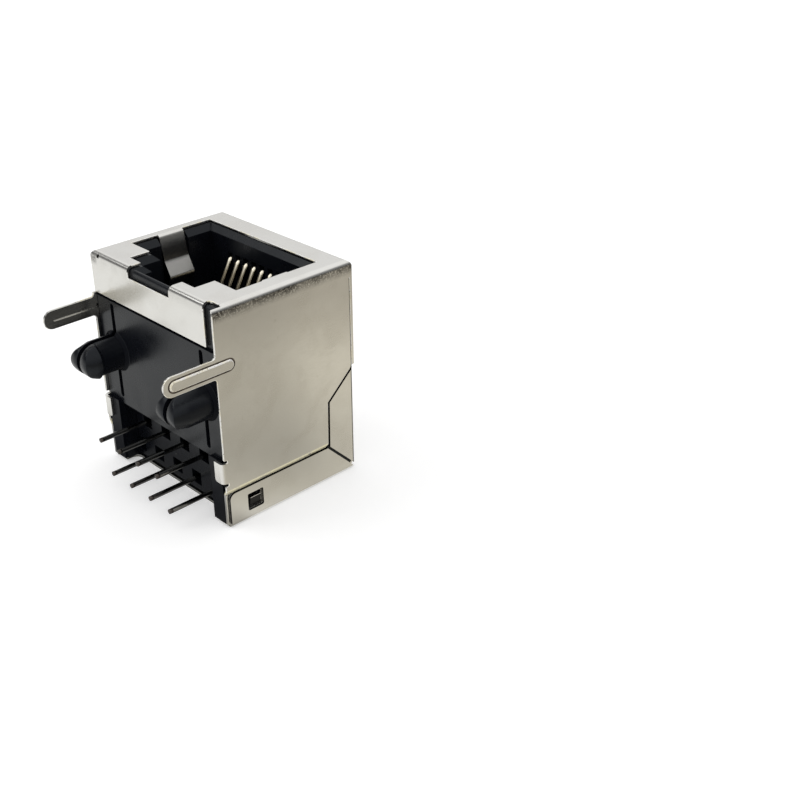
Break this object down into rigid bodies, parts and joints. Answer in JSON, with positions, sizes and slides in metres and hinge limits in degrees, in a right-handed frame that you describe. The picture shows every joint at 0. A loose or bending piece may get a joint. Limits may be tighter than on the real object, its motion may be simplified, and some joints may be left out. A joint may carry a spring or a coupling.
{
  "type": "rj45 board jack",
  "caption": "Shielded modular jack for a circuit board: keyed port, sprung wire contacts, solder pins, snap pegs and grounding tabs.",
  "frame": {"origin": "on the housing's underside (the board side), midway between the two locating pegs", "axes": "+Z out of the port mouth, -Y towards the circuit board, X across the port; it rests on its rear panel as in the picture"},
  "size_m": [0.016, 0.0174, 0.0182],
  "materials": {
    "black_plastic": "moulded, slightly glossy",
    "plated_sheet": "nickel-plated sheet, satin",
    "plated_wire": "tinned and plated round wire"
  },
  "bodies": {
    "root": {"housing": "black_plastic", "contact_carrier": "black_plastic", "shield": "plated_sheet", "contact_1": "plated_wire", "contact_2": "plated_wire", "contact_3": "plated_wire", "contact_4": "plated_wire", "contact_5": "plated_wire", "contact_6": "plated_wire", "contact_7": "plated_wire", "contact_8": "plated_wire"}
  },
  "joints": []
}
